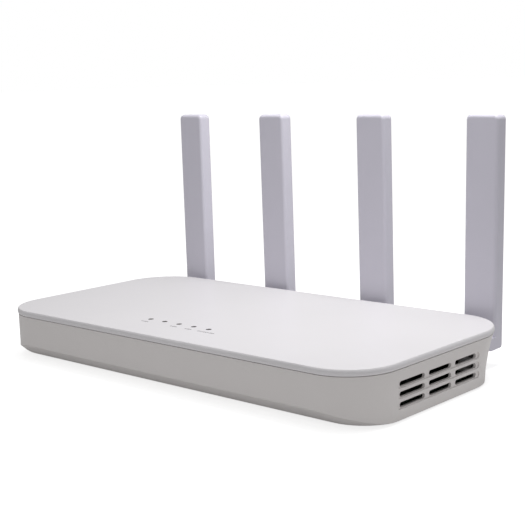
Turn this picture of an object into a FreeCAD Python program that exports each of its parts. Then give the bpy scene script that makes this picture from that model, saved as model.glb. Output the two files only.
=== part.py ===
import FreeCAD, Part
import math
import os

V = FreeCAD.Vector
os.makedirs("parts", exist_ok=True)

# ---- driving dimensions, in millimetres -------------------------------------------------------
# The row frame: +X to the right seen from the front, +Y to the back, +Z up, and the origin on the
# desk under the centre of the whole object.

# Case: a rounded tray closed by a thin lid.
BODY_W = 260.0
BODY_D = 130.4
FRONT_R = 26.0
REAR_R = 29.0
BASE_H = 23.3
SEAM_H = 0.35
COVER_H = 3.1
COVER_OUT = 0.4
CREASE_IN = 0.25
CREASE_R = 0.3
WALL = 2.0
TOP_WALL = 1.8
LIP_H = 1.6
REAR_EDGE_R = 3.0

# The back wall leans in under the lid: (height above the tray's underside, inset from the seam).
REAR_LEAN = [(0.0, 8.6), (8.7, 7.1), (13.7, 5.3), (17.3, 3.7), (21.0, 1.7), (BASE_H, 0.0)]

# A bevel undercuts the tray's lower front edge and dies out round the front corners. It rises from
# the edge of the flat underside: (height, distance outside that edge), then at a steady slope.
BEVEL_IN = 9.2
BEVEL_SIDE = 0.3
BEVEL_R = 22.0
BEVEL_FOOT = [(-3.0, 0.0), (0.0, 0.0), (0.12, 1.0), (0.55, 2.0), (1.4, 3.2)]
BEVEL_SLOPE = 0.93
BEVEL_WALL = 2.6

# Feet, label and wall-mount keyholes on the underside.
FOOT_H = 1.15
FOOT_R = 6.0
FOOT_SINK = 0.5
FOOT_AT = [(-100.0, -55.0), (100.0, -55.0), (-100.0, 28.0), (100.0, 28.0)]
LABEL = (70.0, 36.0, 0.2)
LABEL_Y = 10.0
FLOOR_VENT_X = [20.0, 24.5, 29.0, 33.5, 38.0, 42.5, 47.0, 51.5, 56.0]
FLOOR_VENT_Y = (-44.0, -18.0)
FLOOR_VENT_W = 2.0
KEYHOLE_X = 60.0
KEYHOLE_HEAD_R = 4.0
KEYHOLE_SLOT_R = 2.0
KEYHOLE_RUN = 8.0

# Case screws and the posts that they join.
POST_AT = [(-118.0, -48.0), (118.0, -48.0), (-118.0, 30.0), (118.0, 30.0)]
POST_R = 3.5
POST_SPLIT = 12.0
SCREW_R = 1.3
SCREW_HEAD_R = 2.6
SCREW_HEAD_H = 1.6

# Side vents: rows of slots, each row lying in one shallow groove.
VENT_ROWS = [7.9, 12.7, 17.5]
VENT_SLOTS = [(-42.6, -22.6), (-19.2, -0.5), (2.9, 21.5)]
VENT_GROOVE = (-44.8, 23.8)
SLOT_R = 1.25
GROOVE_R = 1.8
GROOVE_DEPTH = 0.6

# Status lights: five windows in a row near the front of the lid.
LIGHT_X = [-30.2, -19.3, -8.4, 2.5, 13.4]
LIGHT_Y = -45.1
WINDOW_R = 1.5

# Main board.
BOARD_X = (-111.0, 111.0)
BOARD_Y = (-50.0, 46.0)
WING_X = (-124.5, 124.5)
WING_Y = (-43.5, 25.5)
BOARD_T = 1.6
STANDOFF_H = 2.15
STANDOFF_AT = [(-92.0, -36.0), (92.0, -36.0), (-86.0, 20.0), (92.0, 20.0)]
BOARD_SCREW_R = 1.2

# Components on the board: (x, y, width, depth, height), or width, depth and height alone.
PROCESSOR = (0.0, -10.0, 16.0, 16.0, 1.2)
PAD = (0.0, -10.0, 15.0, 15.0, 0.5)
MEMORY = (34.0, -10.0, 13.0, 9.0, 1.1)
FLASH = (34.0, 6.0, 8.0, 6.0, 0.9)
SWITCH_CHIP = (-30.0, 8.0, 10.0, 10.0, 0.9)
SINK_PLATE = (0.0, -10.0, 42.0, 34.0, 2.0)
SINK_FIN = (1.2, 8.0)
SINK_FIN_X = [-20.0, -15.0, -10.0, -5.0, 0.0, 5.0, 10.0, 15.0, 20.0]
CAN = (34.0, 28.0, 2.6)
CAN_X = (-64.0, 66.0)
CAN_Y = -6.0
CAN_T = 0.3
CAPACITOR_R = 3.1
CAPACITOR_H = 8.0
CAPACITOR_AT = [(94.0, 2.0), (102.0, 2.0), (94.0, -7.0)]
TRANSFORMER = (14.0, 9.0, 3.4)
TRANSFORMER_Y = 20.0
LED = (1.6, 0.8, 0.7)
LIGHT_BAR = (4.0, 2.2, 2.0)

# Rear bays, one each side of the inner antennas and one between them: (low x, high x).
BAYS = [(-93.5, -48.5), (-26.2, 26.2), (48.5, 93.5)]
BAY_Z = (5.2, 20.4)
PANEL_IN = 8.8
PANEL_T = 2.0

# Network sockets.
LAN_X = [-16.2, 0.0, 16.2]
WAN_X = -58.5
JACK = (16.0, 21.0, 13.0)
SOCKET = (11.8, 14.0, 6.9)
SOCKET_LIFT = 4.6
LATCH = (6.2, 2.6)
CONTACT = 0.4
CONTACT_PITCH = 1.02

# Power inlet and rear buttons.
DC_X = 85.0
DC_JACK = (9.0, 13.0, 11.0)
DC_BORE_R = 3.1
DC_PIN_R = 1.0
DC_LIFT = 6.3
DC_BORE = 10.0
POWER_X = 69.0
WPS_X = -80.0
RESET_X = 56.0
BUTTON_Z = 13.2
POWER_CAP_R = 3.6
WPS_CAP_R = 2.2
RESET_CAP_R = 1.0
BUTTON_GAP = 0.2
COLLAR_OUT = 0.9
COLLAR_T = 1.0
CAP_BEHIND = 0.3
STEM_R = 0.8
STEM_BEHIND = 7.0
SWITCH_MOUTH = 4.0
SWITCH_BORE_R = 0.9
SWITCH_BORE = 5.0

# Antennas: four flat blades hinged on tongues behind the back wall.
BLADE_X = [-105.6, -36.6, 36.6, 105.6]
BLADE_LEAN = [-0.15, -0.45, -0.35, 0.8]
BLADE_W = 19.3
BLADE_T = 8.7
BLADE_GAP = 4.9
BLADE_TOP = 119.0
BLADE_LOW = 3.8
BLADE_WALL = 1.4
BLADE_CORNER_R = 2.8
BLADE_EDGE_R = 1.9
BLADE_HEEL_R = 2.5
BACK_T = 2.4
HINGE_BEHIND = 1.6
HINGE_UP = 11.85
BARREL_R = 3.3
KNUCKLE = (3.9, BLADE_W / 2)
TONGUE_W = 7.2
TONGUE_T = 5.0
TONGUE_GAP = 0.2
FLANGE_W = 13.2
FLANGE_T = 1.6
FLANGE_Z = (-4.0, 5.5)
PIN_R = 1.25
PIN_FIT = 0.05
LEAD_R = 0.6
LEAD_BEND = 3.0
CONNECTOR_Y = 28.0

# ---- places worked out from them --------------------------------------------------------------

BODY_Y = (COVER_OUT - BLADE_GAP - BLADE_T) / 2
FRONT = BODY_Y - BODY_D / 2
REAR = BODY_Y + BODY_D / 2
BASE_Z = FOOT_H
FLOOR_Z = BASE_Z + WALL
SEAM_Z = BASE_Z + BASE_H
COVER_Z = SEAM_Z + SEAM_H
TOP_Z = COVER_Z + COVER_H
CEILING_Z = TOP_Z - TOP_WALL
BOARD_Z = FLOOR_Z + STANDOFF_H
BOARD_TOP = BOARD_Z + BOARD_T
PANEL_Y = REAR - PANEL_IN
PANEL_BACK = PANEL_Y - PANEL_T
HINGE_Y = REAR + HINGE_BEHIND
HINGE_Z = BASE_Z + HINGE_UP
BLADE_FRONT = REAR + BLADE_GAP - HINGE_Y
BLADE_BACK = BLADE_FRONT + BLADE_T


# ---- helpers ----------------------------------------------------------------------------------

def save(name, shape):
    shape.exportStep(f"parts/{name}.step")


def box(x, y, z):
    """A block between two x, two y and two z values."""
    return Part.makeBox(x[1] - x[0], y[1] - y[0], z[1] - z[0], V(x[0], y[0], z[0]))


def block(centre_x, width, y, z):
    return box((centre_x - width / 2, centre_x + width / 2), y, z)


def rod(radius, start, end):
    """A round rod from one point to another."""
    first = V(*start)
    run = V(*end) - first
    return Part.makeCylinder(radius, run.Length, first, run)


def tube(outer, inner, start, end):
    return rod(outer, start, end).cut(rod(inner, start, end))


def joined(shapes):
    return shapes[0].multiFuse(shapes[1:]).removeSplitter() if len(shapes) > 1 else shapes[0]


def group(shapes):
    return Part.makeCompound(shapes)


def corner(cx, cy, z, radius, start):
    """A quarter circle in plan, from the angle start, in degrees."""
    points = []
    for turn in (0, 45, 90):
        angle = math.radians(start + turn)
        points.append(V(cx + radius * math.cos(angle), cy + radius * math.sin(angle), z))
    return Part.Arc(*points).toShape()


def rounded(x, y, z, front_r, rear_r):
    """A flat wire: a rectangle with one radius at its front corners and another at its back ones."""
    arcs = [
        corner(x[0] + front_r, y[0] + front_r, z, front_r, 180),
        corner(x[1] - front_r, y[0] + front_r, z, front_r, 270),
        corner(x[1] - rear_r, y[1] - rear_r, z, rear_r, 0),
        corner(x[0] + rear_r, y[1] - rear_r, z, rear_r, 90),
    ]
    edges = []
    for index, arc in enumerate(arcs):
        following = arcs[(index + 1) % 4]
        edges.append(arc)
        edges.append(Part.LineSegment(arc.lastVertex().Point, following.firstVertex().Point).toShape())
    return Part.Wire(edges)


def plan(z, inset=0.0, lean=0.0):
    """The case's plan at height z: inset all round, and lean further in at the back."""
    half = BODY_W / 2 - inset
    y = (FRONT + inset, REAR - inset - lean)
    return rounded((-half, half), y, z, FRONT_R - inset, REAR_R - inset)


def slab(z, inset=0.0):
    """The case's plan, inset all round, between two heights."""
    return Part.Face(plan(z[0], inset)).extrude(V(0, 0, z[1] - z[0]))


def leaning(inset, low, high):
    """The tray's outside, inset all round, from the height low to high above its underside."""
    wires = []
    for height, lean in REAR_LEAN:
        place = min(max(height, low), high)
        wires.append(plan(BASE_Z + place, inset, lean))
    return Part.makeLoft(wires, True, False)


def above_bevel(up=0.0):
    """Everything above and behind the bevel, raised by up."""
    steady = BASE_H + 3
    last_rise, last_out = BEVEL_FOOT[-1]
    sections = BEVEL_FOOT + [(steady, last_out + (steady - last_rise) / BEVEL_SLOPE)]
    wires = []
    for rise, out in sections:
        half = BODY_W / 2 + BEVEL_SIDE + out
        y = (FRONT + BEVEL_IN - out, REAR + BEVEL_R)
        wires.append(rounded((-half, half), y, BASE_Z + up + rise, BEVEL_R + out, BEVEL_R))
    return Part.makeLoft(wires, True, True)


def rear_edge_trim():
    """What rounding takes off the tray's lower back edge, straight across the case."""
    half = BODY_W / 2 + 1
    y = REAR - REAR_LEAN[0][1]
    inner = y - REAR_EDGE_R
    z = BASE_Z + REAR_EDGE_R
    square = box((-half, half), (inner, y + 1), (BASE_Z - 1, z))
    return square.cut(rod(REAR_EDGE_R, (-half, inner, z), (half, inner, z)))


def stadium(x, y, z, radius):
    """A slot's solid, long in y and round at both ends, between two x values at height z."""
    low, high = y[0] + radius, y[1] - radius
    middle = box(x, (low, high), (z - radius, z + radius))
    ends = [rod(radius, (x[0], end, z), (x[1], end, z)) for end in (low, high)]
    return joined([middle] + ends)


# ---- case -------------------------------------------------------------------------------------

def side_vents(side):
    """One side's shallow grooves, and the slots right through the wall inside them."""
    outer = BODY_W / 2
    groove_x = sorted((side * (outer - GROOVE_DEPTH), side * (outer + 1)))
    slot_x = sorted((side * (outer - WALL - 1), side * (outer + 1)))
    cuts = []
    for z in VENT_ROWS:
        cuts.append(stadium(groove_x, VENT_GROOVE, z, GROOVE_R))
        for y in VENT_SLOTS:
            cuts.append(stadium(slot_x, y, z, SLOT_R))
    return cuts


def floor_vents():
    """Two fields of short slots through the tray's floor."""
    cuts = []
    for x in FLOOR_VENT_X:
        for side in (-x, x):
            cuts.append(block(side, FLOOR_VENT_W, FLOOR_VENT_Y, (BASE_Z - 1, FLOOR_Z + 1)))
    return cuts


def keyhole(x):
    """A wall-mount keyhole: a round entry and a narrower slot running to the back."""
    low, high = BASE_Z - 1, FLOOR_Z + 1
    entry = rod(KEYHOLE_HEAD_R, (x, 0, low), (x, 0, high))
    run = block(x, 2 * KEYHOLE_SLOT_R, (0, KEYHOLE_RUN), (low, high))
    end = rod(KEYHOLE_SLOT_R, (x, KEYHOLE_RUN, low), (x, KEYHOLE_RUN, high))
    return joined([entry, run, end])


def rear_openings():
    """The three bays, and the holes that the sockets, buttons and tongues come out through."""
    cuts = []
    through = (PANEL_BACK - 1, PANEL_Y + 1)
    for x in BAYS:
        cuts.append(box(x, (PANEL_Y, REAR + 1), BAY_Z))
    jack_z = (BAY_Z[0], BOARD_TOP + JACK[2] + 0.1)
    cuts.append(block(0, LAN_X[-1] - LAN_X[0] + JACK[0] + 0.2, through, jack_z))
    cuts.append(block(WAN_X, JACK[0] + 0.2, through, jack_z))
    cuts.append(block(DC_X, DC_JACK[0] + 0.2, through, (BAY_Z[0], BOARD_TOP + DC_JACK[2] + 0.1)))
    caps = ((POWER_X, POWER_CAP_R), (WPS_X, WPS_CAP_R), (RESET_X, RESET_CAP_R))
    for x, radius in caps:
        hole = radius + BUTTON_GAP
        cuts.append(rod(hole, (x, through[0], BUTTON_Z), (x, through[1], BUTTON_Z)))
    half = TONGUE_T / 2 + TONGUE_GAP
    for x in BLADE_X:
        z = (HINGE_Z - half, HINGE_Z + half)
        cuts.append(block(x, TONGUE_W + 2 * TONGUE_GAP, (PANEL_BACK - 1, REAR + 1), z))
        seat_z = (HINGE_Z + FLANGE_Z[0] - TONGUE_GAP, HINGE_Z + FLANGE_Z[1] + TONGUE_GAP)
        cuts.append(block(x, FLANGE_W + 2 * TONGUE_GAP, (PANEL_BACK - FLANGE_T - 1, PANEL_BACK), seat_z))
    return cuts


def base_shell():
    """The tray: floor, walls, an upright inner back wall, bosses and every opening."""
    outer = leaning(0, 0, BASE_H).common(above_bevel())
    outer = outer.cut(rear_edge_trim())
    hollow = leaning(WALL, WALL, BASE_H).common(above_bevel(BEVEL_WALL))
    upper = slab((SEAM_Z - LIP_H, SEAM_Z + 1), WALL)
    shell = outer.cut(hollow.fuse(upper))
    back_x = (BAYS[0][0] - 24, BAYS[-1][1] + 24)
    back = box(back_x, (PANEL_BACK, REAR), (BASE_Z, BAY_Z[1] + 1.4)).common(outer)
    step = slab((SEAM_Z, COVER_Z), 0.9).cut(slab((SEAM_Z - 1, COVER_Z + 1), WALL))
    posts = [rod(POST_R, (x, y, FLOOR_Z - 1), (x, y, POST_SPLIT)) for x, y in POST_AT]
    rests = [rod(POST_R, (x, y, FLOOR_Z - 1), (x, y, BOARD_Z)) for x, y in STANDOFF_AT]
    solid = joined([shell, back, step] + posts + rests)
    cuts = side_vents(-1) + side_vents(1) + floor_vents() + rear_openings()
    cuts += [keyhole(-KEYHOLE_X), keyhole(KEYHOLE_X)]
    for x, y in POST_AT:
        cuts.append(rod(SCREW_R + 0.2, (x, y, 0), (x, y, POST_SPLIT + 1)))
        cuts.append(rod(SCREW_HEAD_R + 0.3, (x, y, 0), (x, y, BASE_Z + SCREW_HEAD_H + 1)))
    for x, y in STANDOFF_AT:
        cuts.append(rod(BOARD_SCREW_R, (x, y, FLOOR_Z), (x, y, BOARD_Z + 1)))
    for x, y in FOOT_AT:
        cuts.append(rod(FOOT_R + 0.1, (x, y, 0), (x, y, BASE_Z + FOOT_SINK)))
    return solid.cut(group(cuts))


def top_cover():
    """The lid: a bulged rim, a flat top, a locating lip, screw posts and the light windows' holes."""
    profile = [(0.0, 0.0), (0.7, -COVER_OUT + 0.05), (1.4, -COVER_OUT), (2.3, -0.25), (COVER_H, CREASE_IN)]
    rim = Part.makeLoft([plan(COVER_Z + up, inset) for up, inset in profile], True, False)
    crease = [edge for edge in rim.Edges if min(v.Z for v in edge.Vertexes) > TOP_Z - 0.01]
    rim = rim.makeFillet(CREASE_R, crease)
    shell = rim.cut(slab((COVER_Z - 1, CEILING_Z), WALL))
    lip = slab((COVER_Z - LIP_H, CEILING_Z), WALL + 0.2)
    lip = lip.cut(slab((COVER_Z - LIP_H - 1, CEILING_Z + 1), WALL + 1.4))
    posts = []
    for x, y in POST_AT:
        post = tube(POST_R, SCREW_R + 0.05, (x, y, POST_SPLIT), (x, y, POST_SPLIT + 9))
        posts.append(post)
        posts.append(rod(POST_R, (x, y, POST_SPLIT + 9), (x, y, CEILING_Z)))
    solid = joined([shell, lip] + posts)
    holes = [rod(WINDOW_R, (x, LIGHT_Y, CEILING_Z - 1), (x, LIGHT_Y, TOP_Z + 1)) for x in LIGHT_X]
    return solid.cut(group(holes))


def rubber_feet():
    return group([rod(FOOT_R, (x, y, 0), (x, y, FOOT_H + FOOT_SINK)) for x, y in FOOT_AT])


def case_screws():
    screws = []
    seat = BASE_Z + SCREW_HEAD_H + 1
    for x, y in POST_AT:
        head = rod(SCREW_HEAD_R, (x, y, seat - SCREW_HEAD_H), (x, y, seat))
        shank = rod(SCREW_R, (x, y, seat), (x, y, POST_SPLIT + 7))
        drive = joined([
            block(x, 2.6, (y - 0.35, y + 0.35), (seat - SCREW_HEAD_H, seat - 0.8)),
            block(x, 0.7, (y - 1.3, y + 1.3), (seat - SCREW_HEAD_H, seat - 0.8)),
        ])
        screws.append(joined([head, shank]).cut(drive))
    return group(screws)


def rating_label():
    width, depth, thick = LABEL
    return block(0, width, (LABEL_Y, LABEL_Y + depth), (BASE_Z - thick, BASE_Z))


# ---- board ------------------------------------------------------------------------------------

def main_board():
    """A board with a wing at each end that reaches out between the screw posts."""
    board = box(BOARD_X, BOARD_Y, (BOARD_Z, BOARD_TOP)).fuse(box(WING_X, WING_Y, (BOARD_Z, BOARD_TOP)))
    holes = [rod(BOARD_SCREW_R + 0.3, (x, y, BOARD_Z - 1), (x, y, BOARD_TOP + 1)) for x, y in STANDOFF_AT]
    return board.removeSplitter().cut(group(holes))


def board_screws():
    screws = []
    for x, y in STANDOFF_AT:
        shank = rod(BOARD_SCREW_R - 0.05, (x, y, FLOOR_Z + 0.2), (x, y, BOARD_TOP))
        head = rod(2.3, (x, y, BOARD_TOP), (x, y, BOARD_TOP + 1.5))
        screws.append(joined([shank, head]))
    return group(screws)


def on_board(x, y, width, depth, height, lift=0.0):
    """A block of a component standing on the board, centred at x and y."""
    low = BOARD_TOP + lift
    return box((x - width / 2, x + width / 2), (y - depth / 2, y + depth / 2), (low, low + height))


def heat_sink():
    """A finned plate over the processor."""
    low = PROCESSOR[4] + PAD[4]
    depth, thick = SINK_PLATE[3:]
    width, height = SINK_FIN
    lift = low + thick - 0.1
    fins = [on_board(x, SINK_PLATE[1], width, depth, height, lift) for x in SINK_FIN_X]
    return joined([on_board(*SINK_PLATE, low)] + fins)


def shield_can(x):
    """A thin pressed lid over one radio's circuits."""
    width, depth, height = CAN
    outside = on_board(x, CAN_Y, width, depth, height)
    return outside.cut(on_board(x, CAN_Y, width - 2 * CAN_T, depth - 2 * CAN_T, height - CAN_T))


def capacitors():
    top = BOARD_TOP + CAPACITOR_H
    return group([rod(CAPACITOR_R, (x, y, BOARD_TOP), (x, y, top)) for x, y in CAPACITOR_AT])


def transformers():
    return group([on_board(x, TRANSFORMER_Y, *TRANSFORMER) for x in LAN_X + [WAN_X]])


def status_leds():
    return group([on_board(x, LIGHT_Y, *LED) for x in LIGHT_X])


def light_pipe():
    """One clear moulding: a bar under the lid with five pillars, whose tops are the windows."""
    past, half, thick = LIGHT_BAR
    long = (LIGHT_X[0] - past, LIGHT_X[-1] + past)
    bar = box(long, (LIGHT_Y - half, LIGHT_Y + half), (CEILING_Z - thick, CEILING_Z))
    pillars = [rod(WINDOW_R, (x, LIGHT_Y, BOARD_TOP + 1.2), (x, LIGHT_Y, TOP_Z)) for x in LIGHT_X]
    return joined([bar] + pillars)


# ---- rear sockets -----------------------------------------------------------------------------

def network_jack(x):
    """A socket housing whose mouth is flush with the back panel, its latch slot downwards."""
    width, depth, height = JACK
    low = BOARD_TOP
    shell = block(x, width, (PANEL_Y - depth, PANEL_Y), (low, low + height))
    mouth_y = (PANEL_Y - SOCKET[1], PANEL_Y + 1)
    floor = low + SOCKET_LIFT
    mouth = block(x, SOCKET[0], mouth_y, (floor, floor + SOCKET[2]))
    latch = block(x, LATCH[0], mouth_y, (floor - LATCH[1], floor + 1))
    return shell.cut(joined([mouth, latch]))


def jack_contacts():
    """Eight spring wires along the ceiling of each socket."""
    wires = []
    ceiling = BOARD_TOP + SOCKET_LIFT + SOCKET[2]
    for x in LAN_X + [WAN_X]:
        for step in range(8):
            place = x + (step - 3.5) * CONTACT_PITCH
            y = (PANEL_Y - SOCKET[1], PANEL_Y - 3)
            wires.append(block(place, CONTACT, y, (ceiling - CONTACT, ceiling)))
    return group(wires)


def dc_jack():
    """The power inlet: a block with a round bore, open to the back."""
    width, depth, height = DC_JACK
    centre = BOARD_TOP + DC_LIFT
    shell = block(DC_X, width, (PANEL_Y - depth, PANEL_Y), (BOARD_TOP, BOARD_TOP + height))
    return shell.cut(rod(DC_BORE_R, (DC_X, PANEL_Y - DC_BORE, centre), (DC_X, PANEL_Y + 1, centre)))


def dc_pin():
    centre = BOARD_TOP + DC_LIFT
    return rod(DC_PIN_R, (DC_X, PANEL_Y - DC_BORE, centre), (DC_X, PANEL_Y - 1, centre))


# ---- rear buttons -----------------------------------------------------------------------------

def rear_button(x, radius, proud):
    """A push cap through the back panel, with a collar behind it and a stem into its switch."""
    seat = PANEL_BACK - CAP_BEHIND
    cap = rod(radius, (x, seat, BUTTON_Z), (x, PANEL_Y + proud, BUTTON_Z))
    collar = rod(radius + COLLAR_OUT, (x, seat - COLLAR_T, BUTTON_Z), (x, seat, BUTTON_Z))
    stem = rod(STEM_R, (x, PANEL_BACK - STEM_BEHIND, BUTTON_Z), (x, seat - COLLAR_T, BUTTON_Z))
    if proud > 0.5:
        rim = [edge for edge in cap.Edges if abs(edge.CenterOfMass.y - PANEL_Y - proud) < 0.01]
        cap = cap.makeFillet(0.4, rim)
    return joined([cap, collar, stem])


def push_switch(x, width, length):
    """A switch on the board with a blind bore that its button's stem slides in."""
    mouth = PANEL_BACK - SWITCH_MOUTH
    case = block(x, width, (mouth - length, mouth), (BOARD_TOP, BUTTON_Z + 2.6))
    return case.cut(rod(SWITCH_BORE_R, (x, mouth - SWITCH_BORE, BUTTON_Z), (x, mouth + 1, BUTTON_Z)))


# ---- antennas ---------------------------------------------------------------------------------

def blade_outside():
    """The whole blade, about the hinge axis: a flat bar with rounded upper corners and soft edges."""
    half = BLADE_W / 2
    x = (-half, half)
    flat = rounded(x, (-BLADE_LOW, BLADE_TOP), 0, 1.6, BLADE_CORNER_R)
    bar = Part.Face(flat).extrude(V(0, 0, BLADE_T))
    soft = [edge for edge in bar.Edges if len({round(v.Z, 3) for v in edge.Vertexes}) == 1]
    bar = bar.makeFillet(BLADE_EDGE_R, soft)
    bar.rotate(V(0, 0, 0), V(1, 0, 0), 90)
    bar.translate(V(0, BLADE_BACK, 0))
    return bar.cut(heel_trim())


def heel_trim():
    """What rounding takes off the blade's lower back edge."""
    half = BLADE_W / 2 + 1
    y = BLADE_BACK - BLADE_HEEL_R
    z = BLADE_HEEL_R - BLADE_LOW
    square = box((-half, half), (y, BLADE_BACK + 1), (-BLADE_LOW - 1, z))
    return square.cut(rod(BLADE_HEEL_R, (-half, y, z), (half, y, z)))


def blade_hollow():
    half = BLADE_W / 2 - BLADE_WALL
    return box((-half, half), (BLADE_FRONT + BLADE_WALL, BLADE_BACK - BLADE_WALL),
               (BLADE_WALL, BLADE_TOP - BLADE_WALL))


def blade_front():
    """The blade's front moulding, with the two knuckles that turn on the pin."""
    split = BLADE_BACK - BACK_T
    half = BLADE_W
    front = blade_outside().common(box((-half, half), (0, split), (-BLADE_LOW - 1, BLADE_TOP + 1)))
    pieces = [front]
    for side in (-1, 1):
        low, high = sorted((side * KNUCKLE[0], side * KNUCKLE[1]))
        pieces.append(rod(BARREL_R, (low, 0, 0), (high, 0, 0)))
        pieces.append(box((low, high), (0, BLADE_FRONT + BLADE_WALL), (-BARREL_R, BARREL_R)))
    solid = joined(pieces).cut(blade_hollow())
    return solid.cut(rod(PIN_R, (-BLADE_W, 0, 0), (BLADE_W, 0, 0)))


def blade_back():
    split = BLADE_BACK - BACK_T
    behind = box((-BLADE_W, BLADE_W), (split, BLADE_BACK + 1), (-BLADE_LOW - 1, BLADE_TOP + 1))
    back = blade_outside().common(behind)
    return back.cut(blade_hollow())


def radiator():
    """The antenna's printed strip, lying on the inside of the back moulding."""
    high = BLADE_BACK - BLADE_WALL
    return box((-6.5, 6.5), (high - 0.8, high), (14, BLADE_TOP - 6))


def hinge_pin():
    return rod(PIN_R, (-KNUCKLE[1], 0, 0), (KNUCKLE[1], 0, 0))


def hinge_bracket():
    """A tongue with an eye for the pin, and a flange that holds it from inside the back wall."""
    wall = PANEL_BACK - HINGE_Y
    eye_r = TONGUE_T / 2 + 0.4
    half = TONGUE_W / 2
    eye = rod(eye_r, (-half, 0, 0), (half, 0, 0))
    tongue = box((-half, half), (wall, 0), (-TONGUE_T / 2, TONGUE_T / 2))
    flange = block(0, FLANGE_W, (wall - FLANGE_T, wall), FLANGE_Z)
    solid = joined([eye, tongue, flange])
    solid = solid.cut(rod(PIN_R + PIN_FIT, (-half - 1, 0, 0), (half + 1, 0, 0)))
    return solid.cut(rod(LEAD_R + 0.1, (0, wall - 3, 0), (0, 0, 0)))


def lead():
    """The antenna's coaxial lead: up from its connector, round one bend and back into the tongue."""
    start = V(0, CONNECTOR_Y - HINGE_Y, BOARD_TOP + 1.2 - HINGE_Z)
    knee = V(0, CONNECTOR_Y - HINGE_Y, 0)
    end = V(0, -PIN_R - 0.4, 0)
    rise_end = knee - V(0, 0, LEAD_BEND)
    run_start = knee + V(0, LEAD_BEND, 0)
    centre = V(0, run_start.y, rise_end.z)
    middle = centre + V(0, -LEAD_BEND * math.sqrt(0.5), LEAD_BEND * math.sqrt(0.5))
    path = Part.Wire([
        Part.LineSegment(start, rise_end).toShape(),
        Part.Arc(rise_end, middle, run_start).toShape(),
        Part.LineSegment(run_start, end).toShape(),
    ])
    ring = Part.Wire(Part.makeCircle(LEAD_R, start, V(0, 0, 1)))
    return path.makePipeShell([ring], True, False)


def rf_connectors():
    return group([on_board(x, CONNECTOR_Y, 3, 3, 1.2) for x in BLADE_X])


def save_antenna(number, x, lean):
    """Every piece of one antenna, leaned a little to the side and moved to its place on the case."""
    pieces = {
        "blade_front": blade_front(),
        "blade_back": blade_back(),
        "radiator": radiator(),
        "hinge_pin": hinge_pin(),
        "hinge_bracket": hinge_bracket(),
    }
    for shape in pieces.values():
        shape.rotate(V(0, 0, 0), V(0, 1, 0), lean)
    pieces["lead"] = lead()
    for name, shape in pieces.items():
        shape.translate(V(x, HINGE_Y, HINGE_Z))
        save(f"antenna_{number}_{name}", shape)


# ---- assembly ---------------------------------------------------------------------------------

save("base_shell", base_shell())
save("top_cover", top_cover())
save("rubber_feet", rubber_feet())
save("case_screws", case_screws())
save("rating_label", rating_label())
save("main_board", main_board())
save("board_screws", board_screws())
save("processor", on_board(*PROCESSOR))
save("thermal_pad", on_board(*PAD, PROCESSOR[4]))
save("heat_sink", heat_sink())
save("memory_chip", on_board(*MEMORY))
save("flash_chip", on_board(*FLASH))
save("switch_chip", on_board(*SWITCH_CHIP))
save("shield_can_left", shield_can(CAN_X[0]))
save("shield_can_right", shield_can(CAN_X[1]))
save("capacitors", capacitors())
save("transformers", transformers())
save("status_leds", status_leds())
save("light_pipe", light_pipe())
for number, place in enumerate(LAN_X, 1):
    save(f"lan_jack_{number}", network_jack(place))
save("wan_jack", network_jack(WAN_X))
save("jack_contacts", jack_contacts())
save("dc_jack", dc_jack())
save("dc_pin", dc_pin())
save("power_button", rear_button(POWER_X, POWER_CAP_R, 2.0))
save("power_switch", push_switch(POWER_X, 8.0, 8.5))
save("wps_button", rear_button(WPS_X, WPS_CAP_R, 1.4))
save("wps_switch", push_switch(WPS_X, 6.0, 6.0))
save("reset_button", rear_button(RESET_X, RESET_CAP_R, -1.0))
save("reset_switch", push_switch(RESET_X, 6.0, 6.0))
save("rf_connectors", rf_connectors())
for number, (place, tilt) in enumerate(zip(BLADE_X, BLADE_LEAN), 1):
    save_antenna(number, place, tilt)
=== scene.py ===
import math
import bmesh
import bpy
from mathutils import Matrix, Vector


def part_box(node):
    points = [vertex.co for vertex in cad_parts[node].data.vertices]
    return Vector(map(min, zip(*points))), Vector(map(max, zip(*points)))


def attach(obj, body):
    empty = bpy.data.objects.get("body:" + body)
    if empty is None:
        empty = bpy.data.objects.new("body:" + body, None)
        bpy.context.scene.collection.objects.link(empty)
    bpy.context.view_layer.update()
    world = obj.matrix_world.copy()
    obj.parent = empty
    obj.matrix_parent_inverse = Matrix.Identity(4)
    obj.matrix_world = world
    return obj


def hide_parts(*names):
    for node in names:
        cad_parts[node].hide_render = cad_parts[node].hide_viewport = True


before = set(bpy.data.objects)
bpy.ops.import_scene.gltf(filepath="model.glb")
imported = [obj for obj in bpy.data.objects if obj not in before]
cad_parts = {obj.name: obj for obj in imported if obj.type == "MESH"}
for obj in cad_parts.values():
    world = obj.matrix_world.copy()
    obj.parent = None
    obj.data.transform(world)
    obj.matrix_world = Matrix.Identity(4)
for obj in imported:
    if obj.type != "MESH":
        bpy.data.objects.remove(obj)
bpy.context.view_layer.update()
MM = 0.001

# The tray: one moulding in cool white plastic that carries everything else. Its back wall leans in
# under the lid, a bevel undercuts its front edge, and both ends have grooves with vent slots.

TRAY_WHITE = (0.81, 0.775, 0.765)


def smooth_copy(node, name, sharp=28.0):
    """A moulded part's own surface, merged and shaded smooth up to its real edges."""
    piece = bpy.data.objects.new(name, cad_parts[node].data.copy())
    bpy.context.scene.collection.objects.link(piece)
    build = bmesh.new()
    build.from_mesh(piece.data)
    bmesh.ops.remove_doubles(build, verts=build.verts, dist=0.002 * MM)
    for face in build.faces:
        face.smooth = True
    for edge in build.edges:
        edge.smooth = edge.calc_face_angle(math.pi) < math.radians(sharp)
    build.to_mesh(piece.data)
    build.free()
    piece.data.materials.clear()
    even = piece.modifiers.new("even shading", "WEIGHTED_NORMAL")
    even.keep_sharp = True
    even.weight = 100
    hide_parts(node)
    return piece


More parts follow.
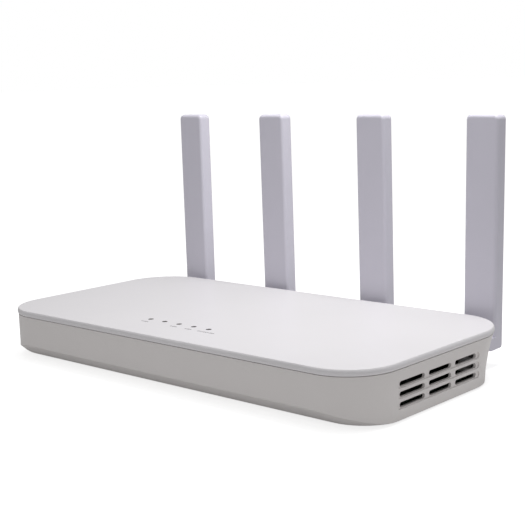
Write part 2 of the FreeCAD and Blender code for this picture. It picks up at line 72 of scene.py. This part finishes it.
def patches(material, size, detail=3.0):
    """Soft uneven patches over a surface, as a value from 0 to 1."""
    tree = material.node_tree
    place = tree.nodes.new("ShaderNodeTexCoord")
    noise = tree.nodes.new("ShaderNodeTexNoise")
    noise.inputs["Scale"].default_value = 1.0 / size
    noise.inputs["Detail"].default_value = detail
    tree.links.new(place.outputs["Object"], noise.inputs["Vector"])
    return noise.outputs["Fac"]


def spread(material, value, low, high, socket):
    """Runs a shader input from low to high as value goes from 0 to 1."""
    tree = material.node_tree
    gauge = tree.nodes.new("ShaderNodeMapRange")
    gauge.inputs["To Min"].default_value = low
    gauge.inputs["To Max"].default_value = high
    tree.links.new(value, gauge.inputs["Value"])
    tree.links.new(gauge.outputs["Result"], tree.nodes["Principled BSDF"].inputs[socket])


def tinted(material, value, dark, light):
    """Runs the base colour from dark to light as value goes from 0 to 1."""
    tree = material.node_tree
    mix = tree.nodes.new("ShaderNodeMix")
    mix.data_type = "RGBA"
    mix.inputs[6].default_value = (*dark, 1)
    mix.inputs[7].default_value = (*light, 1)
    tree.links.new(value, mix.inputs[0])
    tree.links.new(mix.outputs[2], tree.nodes["Principled BSDF"].inputs["Base Color"])


def raised(material, height, strength, distance):
    """Lifts the surface by height, as fine relief."""
    tree = material.node_tree
    bump = tree.nodes.new("ShaderNodeBump")
    bump.inputs["Strength"].default_value = strength
    bump.inputs["Distance"].default_value = distance
    tree.links.new(height, bump.inputs["Height"])
    tree.links.new(bump.outputs["Normal"], tree.nodes["Principled BSDF"].inputs["Normal"])


def moulded(name, colour, roughness, grain=0.35, drift=0.015):
    """Injection-moulded plastic: fine spark-eroded grain, with a faint drift in colour and gloss."""
    material = bpy.data.materials.new(name)
    material.use_nodes = True
    flow = patches(material, 55 * MM)
    dark = [level * (1 - drift) for level in colour]
    light = [min(1.0, level * (1 + drift)) for level in colour]
    tinted(material, flow, dark, light)
    spread(material, flow, roughness - 0.04, roughness + 0.04, "Roughness")
    raised(material, patches(material, 0.6 * MM, 2.0), grain, 0.02 * MM)
    return material


def placed(piece, material, body):
    """Gives a piece its finish and the body that it moves with."""
    piece.data.materials.append(material)
    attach(piece, body)


tray = smooth_copy("base_shell", "tray")
placed(tray, moulded("tray_plastic", TRAY_WHITE, 0.42), "case")

# The feet: four round pads of soft grey rubber, stuck in shallow recesses under the tray. Their soles
# have two raised grip rings.

FOOT_RINGS = [(0.0, 0.25), (1.6, 0.25), (1.9, 0.0), (3.0, 0.0), (3.3, 0.25), (4.0, 0.25), (4.3, 0.0),
              (5.4, 0.0), (5.8, 0.15), (6.0, 0.5)]
FOOT_R = 6.0


def turned(build, profile, centre, toward=(0, 0, 1), steps=48):
    """Adds a shape turned about a line through centre: profile holds (radius, distance along) in mm."""
    along = Vector(toward)
    out = along.orthogonal().normalized()
    points = [build.verts.new(centre + (out * radius + along * far) * MM) for radius, far in profile]
    edges = [build.edges.new(pair) for pair in zip(points, points[1:])]
    bmesh.ops.spin(build, geom=points + edges, cent=centre, axis=along, steps=steps, angle=2 * math.pi,
                   use_merge=True)


def closed(build, name, sharp=35.0):
    """Turns a finished bmesh into a piece, with outward faces and smooth shading up to its edges."""
    bmesh.ops.remove_doubles(build, verts=build.verts, dist=0.002 * MM)
    bmesh.ops.recalc_face_normals(build, faces=build.faces)
    for face in build.faces:
        face.smooth = True
    for edge in build.edges:
        edge.smooth = edge.calc_face_angle(math.pi) < math.radians(sharp)
    mesh = bpy.data.meshes.new(name)
    build.to_mesh(mesh)
    build.free()
    piece = bpy.data.objects.new(name, mesh)
    bpy.context.scene.collection.objects.link(piece)
    return piece


def rubber(name, colour):
    """Soft matt rubber with a dusty bloom."""
    material = bpy.data.materials.new(name)
    material.use_nodes = True
    bloom = patches(material, 4 * MM, 5.0)
    tinted(material, bloom, colour, [min(1.0, level * 1.25) for level in colour])
    spread(material, bloom, 0.75, 0.92, "Roughness")
    raised(material, patches(material, 0.5 * MM), 0.4, 0.03 * MM)
    return material


low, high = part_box("rubber_feet")
top = (high.z - low.z) / MM
build = bmesh.new()
for x in (low.x + FOOT_R * MM, high.x - FOOT_R * MM):
    for y in (low.y + FOOT_R * MM, high.y - FOOT_R * MM):
        turned(build, FOOT_RINGS + [(FOOT_R, top), (0.0, top)], Vector((x, y, low.z)))
feet = closed(build, "feet")
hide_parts("rubber_feet")
placed(feet, rubber("foot_rubber", (0.26, 0.26, 0.27)), "case")

# The rating label: a blank silver-grey film stuck toward the back of the underside. Its print is only
# rows of plain grey bars.


def repainted(node, material):
    """Gives a part that keeps its own shape a new finish."""
    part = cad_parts[node]
    if not part.material_slots:
        part.data.materials.append(material)
    for place in part.material_slots:
        place.material = material


film = bpy.data.materials.new("label_film")
film.use_nodes = True
place = film.node_tree.nodes.new("ShaderNodeTexCoord")
bars = film.node_tree.nodes.new("ShaderNodeTexBrick")
bars.offset = 0.37
bars.inputs["Scale"].default_value = 1.0
bars.inputs["Brick Width"].default_value = 11 * MM
bars.inputs["Row Height"].default_value = 4 * MM
bars.inputs["Mortar Size"].default_value = 1.3 * MM
bars.inputs["Color1"].default_value = (0.16, 0.16, 0.17, 1)
bars.inputs["Color2"].default_value = (0.30, 0.30, 0.31, 1)
bars.inputs["Mortar"].default_value = (0.62, 0.62, 0.63, 1)
film.node_tree.links.new(place.outputs["Object"], bars.inputs["Vector"])
film.node_tree.links.new(bars.outputs["Color"], film.node_tree.nodes["Principled BSDF"].inputs["Base Color"])
spread(film, patches(film, 9 * MM), 0.42, 0.55, "Roughness")
repainted("rating_label", film)

# The main board: green glass-cloth laminate on four standoffs, with paler copper tracks under its
# solder mask, both painted nearly black as painted shade of the closed case's dark inside. Every chip and
# socket stands on it.


def laminate(name, mask, track):
    """Solder mask over copper tracks that run square to each other."""
    material = bpy.data.materials.new(name)
    material.use_nodes = True
    nodes = material.node_tree.nodes
    links = material.node_tree.links
    place = nodes.new("ShaderNodeTexCoord")
    tracks = nodes.new("ShaderNodeTexBrick")
    tracks.inputs["Scale"].default_value = 1.0
    tracks.inputs["Brick Width"].default_value = 6 * MM
    tracks.inputs["Row Height"].default_value = 1.6 * MM
    tracks.inputs["Mortar Size"].default_value = 0.25 * MM
    tracks.inputs["Color1"].default_value = (*mask, 1)
    tracks.inputs["Color2"].default_value = (*[level * 0.8 for level in mask], 1)
    tracks.inputs["Mortar"].default_value = (*track, 1)
    links.new(place.outputs["Object"], tracks.inputs["Vector"])
    links.new(tracks.outputs["Color"], nodes["Principled BSDF"].inputs["Base Color"])
    nodes["Principled BSDF"].inputs["Specular IOR Level"].default_value = 0.15
    spread(material, patches(material, 20 * MM), 0.5, 0.65, "Roughness")
    raised(material, tracks.outputs["Fac"], 0.3, 0.04 * MM)
    return material


# Mask and tracks are painted nearly black: painted shade of the case's dark inside over a green board.
board_mask_with_painted_shade = laminate("board_mask_with_painted_shade", (0.006, 0.014, 0.008), (0.014, 0.032, 0.018))
repainted("main_board", board_mask_with_painted_shade)


def metal(name, colour, roughness, streak):
    """Bare metal with the fine marks of plating or rolling, drawn out along X by streak."""
    material = bpy.data.materials.new(name)
    material.use_nodes = True
    tree = material.node_tree
    shader = tree.nodes["Principled BSDF"]
    shader.inputs["Metallic"].default_value = 1.0
    place = tree.nodes.new("ShaderNodeTexCoord")
    stretch = tree.nodes.new("ShaderNodeMapping")
    stretch.inputs["Scale"].default_value = (1 / streak, 1, 1)
    grain = tree.nodes.new("ShaderNodeTexNoise")
    grain.inputs["Scale"].default_value = 1 / (0.3 * MM)
    grain.inputs["Detail"].default_value = 2.0
    tree.links.new(place.outputs["Object"], stretch.inputs["Vector"])
    tree.links.new(stretch.outputs["Vector"], grain.inputs["Vector"])
    tinted(material, patches(material, 8 * MM), [level * 0.85 for level in colour], colour)
    spread(material, grain.outputs["Fac"], roughness - 0.08, roughness + 0.08, "Roughness")
    raised(material, grain.outputs["Fac"], 0.2, 0.01 * MM)
    return material


screw_zinc = metal("screw_zinc", (0.62, 0.62, 0.60), 0.35, 1.0)
placed(smooth_copy("board_screws", "board_screw_set"), screw_zinc, "case")

# The chips: black epoxy blocks with a slight haze, soldered flat, and the network transformers, which
# are potted in the same epoxy. The processor wears a grey thermal pad and an extruded aluminium heat
# sink.

epoxy = moulded("chip_epoxy", (0.018, 0.018, 0.02), 0.55, 0.5, 0.15)
for node in ("processor", "memory_chip", "flash_chip", "switch_chip", "transformers"):
    repainted(node, epoxy)
repainted("thermal_pad", rubber("pad_silicone", (0.22, 0.25, 0.31)))
repainted("heat_sink", metal("sink_aluminium", (0.72, 0.73, 0.74), 0.38, 0.05))

# The shield cans: thin lids of tinned steel, pressed to shape and dropped over the two radio circuits
# to the left and right of the processor.

tin = metal("shield_tin", (0.36, 0.35, 0.33), 0.45, 12.0)
repainted("shield_can_left", tin)
repainted("shield_can_right", tin)

# The power capacitors: three drawn aluminium cans, soldered upright near the right end of the board.
# They smooth the supply from the power inlet.

can = metal("capacitor_can", (0.70, 0.71, 0.72), 0.28, 1.0)
placed(smooth_copy("capacitors", "capacitor_set"), can, "case")

# The lights: five small surface lamps on the board, each under one pillar of a clear moulding whose
# tops are the round windows in the lid. Unlit, the windows are painted deep brown: their smoky tint plus
# painted shade of the dark inside.


def clear_moulding(name, colour, roughness):
    """Clear plastic drawn opaque under a smooth gloss; where a dark inside shows through, its deep colour
    holds painted shade.
    """
    material = bpy.data.materials.new(name)
    material.use_nodes = True
    depth = patches(material, 3 * MM)
    tinted(material, depth, colour, [level * 1.6 for level in colour])
    spread(material, depth, roughness, roughness + 0.06, "Roughness")
    shader = material.node_tree.nodes["Principled BSDF"]
    shader.inputs["IOR"].default_value = 1.49
    shader.inputs["Coat Weight"].default_value = 0.15
    return material


repainted("status_leds", clear_moulding("lamp_lens", (0.62, 0.55, 0.30), 0.2))
windows = smooth_copy("light_pipe", "light_windows")
# The near-black brown is the smoky tint plus painted shade of the case's dark inside behind the windows.
placed(windows, clear_moulding("window_smoke_and_painted_shade", (0.016, 0.009, 0.007), 0.32), "case")

# The network sockets: glass-filled housings, three black for the local network and one blue for the
# uplink, with eight gilt spring wires in each. They stand on the board behind the back panel.

socket_black = moulded("socket_black", (0.022, 0.022, 0.024), 0.38, 0.6, 0.08)
for number in (1, 2, 3):
    repainted(f"lan_jack_{number}", socket_black)
repainted("wan_jack", moulded("socket_blue", (0.02, 0.09, 0.32), 0.38, 0.6, 0.08))
gilt = metal("contact_gilt", (0.80, 0.58, 0.22), 0.22, 0.2)
repainted("jack_contacts", gilt)
repainted("rf_connectors", gilt)

# The power inlet: a moulded black block with a round bore, open to the back, and a plated pin in the
# middle of it. The block is soldered to the board.

placed(smooth_copy("dc_jack", "power_inlet"), socket_black, "case")
placed(smooth_copy("dc_pin", "power_inlet_pin"), gilt, "case")

# The rear buttons: round moulded caps with a dished face, each with a collar that stops it falling
# out and a stem that slides into a switch on the board.

COLLAR_OUT = 0.9
COLLAR_T = 1.0
COLLAR_AT = 5.7
STEM_R = 0.8
CAP_EDGE = 0.45


def push_cap(node, dish):
    """One button, turned about its own line of travel, its face hollowed by dish."""
    low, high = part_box(node)
    middle = (low + high) / 2
    collar = (high.x - low.x) / 2 / MM
    radius = collar - COLLAR_OUT
    face = (high.y - low.y) / MM
    edge = min(CAP_EDGE, radius * 0.3)
    stem = [(0, 0), (STEM_R, 0), (STEM_R, COLLAR_AT)]
    ring = [(collar, COLLAR_AT), (collar, COLLAR_AT + COLLAR_T), (radius, COLLAR_AT + COLLAR_T)]
    shoulder = [(radius, face - edge), (radius - 0.3 * edge, face - 0.3 * edge), (radius - edge, face)]
    hollow = [(radius * 0.6, face - dish * 0.5), (0, face - dish)]
    build = bmesh.new()
    turned(build, stem + ring + shoulder + hollow, Vector((middle.x, low.y, middle.z)), (0, 1, 0))
    piece = closed(build, f"{node}_cap")
    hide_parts(node)
    return piece


cap_grey = moulded("button_grey", (0.34, 0.34, 0.35), 0.4)
dark_plastic = moulded("switch_black", (0.03, 0.03, 0.03), 0.5, 0.5, 0.1)
placed(push_cap("power_button", 0.35), cap_grey, "power_button")
placed(push_cap("wps_button", 0.2), cap_grey, "wps_button")
placed(push_cap("reset_button", 0.1), dark_plastic, "reset_button")
for node in ("power_switch", "wps_switch", "reset_switch"):
    repainted(node, dark_plastic)

# The lid: a thin flat moulding in the same white, with a bulged rim that overhangs the seam. Four
# screws hold it from below. Small printed ticks stand in front of its lights.

LID_WHITE = (0.80, 0.78, 0.80)
TICK_ROWS = [(-31.6, -26.1), (-9.5, -4.2), (1.5, 6.4), (10.8, 22.8)]
TICK_PITCH = 1.05
TICK = (0.55, 1.35, 0.02)
TICK_SHORTEST = 0.55
TICK_AHEAD = 5.6

lid = smooth_copy("top_cover", "lid")
placed(lid, moulded("lid_plastic", LID_WHITE, 0.40, 0.25), "case")
placed(smooth_copy("case_screws", "case_screw_set"), screw_zinc, "case")

lid_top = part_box("top_cover")[1].z
lights_low, lights_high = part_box("status_leds")
tick_y = (lights_low.y + lights_high.y) / 2 - TICK_AHEAD * MM
build = bmesh.new()
for first, last in TICK_ROWS:
    count = round((last - first) / TICK_PITCH)
    for step in range(count):
        x = (first + (step + 0.5) * (last - first) / count) * MM
        share = ((step * 3 + count) % 4) / 3
        tall = TICK[1] * (TICK_SHORTEST + (1 - TICK_SHORTEST) * share)
        tick = bmesh.ops.create_cube(build, size=MM)["verts"]
        bmesh.ops.scale(build, verts=tick, vec=(TICK[0], tall, TICK[2]))
        bmesh.ops.translate(build, verts=tick, vec=(x, tick_y, lid_top + TICK[2] * MM / 2))
ticks = closed(build, "light_ticks")
placed(ticks, moulded("tick_ink", (0.10, 0.095, 0.10), 0.6, 0.1, 0.1), "case")

# The antennas: each a hollow blade of two mouldings in lavender white round a printed strip. Two
# knuckles on the blade turn on a pin through a tongue, which the back panel holds by its flange.

BLADE_WHITE = (0.72, 0.70, 0.79)

blade_plastic = moulded("blade_plastic", BLADE_WHITE, 0.45)
strip_mask = laminate("strip_mask", (0.01, 0.04, 0.02), (0.35, 0.22, 0.08))
jacket = moulded("lead_jacket", (0.05, 0.05, 0.055), 0.35, 0.2)
for number in range(1, 5):
    antenna = f"antenna_{number}"
    for part, name in (("blade_front", "front"), ("blade_back", "back"), ("hinge_pin", "pin")):
        piece = smooth_copy(f"{antenna}_{part}", f"{antenna}_{name}_moulding")
        placed(piece, blade_plastic, antenna)
    tongue = smooth_copy(f"{antenna}_hinge_bracket", f"{antenna}_tongue")
    placed(tongue, blade_plastic, "case")
    placed(smooth_copy(f"{antenna}_lead", f"{antenna}_coax"), jacket, "case")
    repainted(f"{antenna}_radiator", strip_mask)

# The desk: a wide pale top that the box stands on. It glows a little to the camera, so that the box's
# shadow stays faint, as on a lit studio table.


def brighter_to_camera(tree, lighting, seen, socket):
    """Feeds socket one level for the light it casts and another for how it looks to the camera."""
    ray = tree.nodes.new("ShaderNodeLightPath")
    level = tree.nodes.new("ShaderNodeMapRange")
    level.inputs["To Min"].default_value = lighting
    level.inputs["To Max"].default_value = seen
    tree.links.new(ray.outputs["Is Camera Ray"], level.inputs["Value"])
    tree.links.new(level.outputs["Result"], socket)


DESK_HALF = 30.0
DESK_GREY = 0.55

build = bmesh.new()
bmesh.ops.create_grid(build, x_segments=1, y_segments=1, size=DESK_HALF)
desk = closed(build, "desk")
desk_paint = bpy.data.materials.new("desk_paint")
desk_paint.use_nodes = True
surface = desk_paint.node_tree.nodes["Principled BSDF"]
surface.inputs["Base Color"].default_value = (DESK_GREY, DESK_GREY, DESK_GREY, 1)
surface.inputs["Roughness"].default_value = 0.9
surface.inputs["Emission Color"].default_value = (1, 1, 1, 1)
brighter_to_camera(desk_paint.node_tree, 0.1, 0.75, surface.inputs["Emission Strength"])
desk.data.materials.append(desk_paint)

# The studio: a broad ceiling light, a smaller soft light above the right end that picks out the right
# edges of the inner antennas, and white all round.


def lamp(light, toward, place=(0, 0, 0)):
    """Hangs a light at place, shining toward."""
    holder = bpy.data.objects.new(light.name, light)
    bpy.context.scene.collection.objects.link(holder)
    holder.location = place
    holder.rotation_euler = Vector(toward).to_track_quat("-Z", "Y").to_euler()


ceiling = bpy.data.lights.new("ceiling_light", "SUN")
ceiling.energy = 0.5
ceiling.angle = math.radians(40)
lamp(ceiling, (0.06, -0.12, -1.0))

SOFTBOX_AT = Vector((0.1, 0.045, 0.44))
SOFTBOX_AIM = Vector((0.0, 0.03, 0.03))
overhead = bpy.data.lights.new("overhead", "AREA")
overhead.shape = "DISK"
overhead.size = 0.14
overhead.energy = 1.15
lamp(overhead, SOFTBOX_AIM - SOFTBOX_AT, SOFTBOX_AT)

world = bpy.data.worlds.new("studio")
bpy.context.scene.world = world
world.use_nodes = True
sky = world.node_tree.nodes["Background"]
sky.inputs["Color"].default_value = (1, 1, 1, 1)
brighter_to_camera(world.node_tree, 0.36, 1.0, sky.inputs["Strength"])
bpy.context.scene.view_settings.view_transform = "Standard"

# The camera: a long lens off the right front corner, high enough to look down on the lid at about nine
# degrees, and rolled a little.

LENS_MM = 75.8
STAND = (0.40494, -0.43346, 0.15219)
HEADING = math.radians(42.28)
TIP = math.radians(90 - 9.34)
ROLL = math.radians(-1.72)

camera = bpy.data.objects.new("camera", bpy.data.cameras.new("camera"))
bpy.context.scene.collection.objects.link(camera)
camera.data.lens = LENS_MM
camera.data.sensor_width = 36.0
camera.data.clip_end = 2 * DESK_HALF
turn = Matrix.Rotation(HEADING, 4, "Z") @ Matrix.Rotation(TIP, 4, "X") @ Matrix.Rotation(ROLL, 4, "Z")
camera.matrix_world = Matrix.Translation(STAND) @ turn
bpy.context.scene.camera = camera
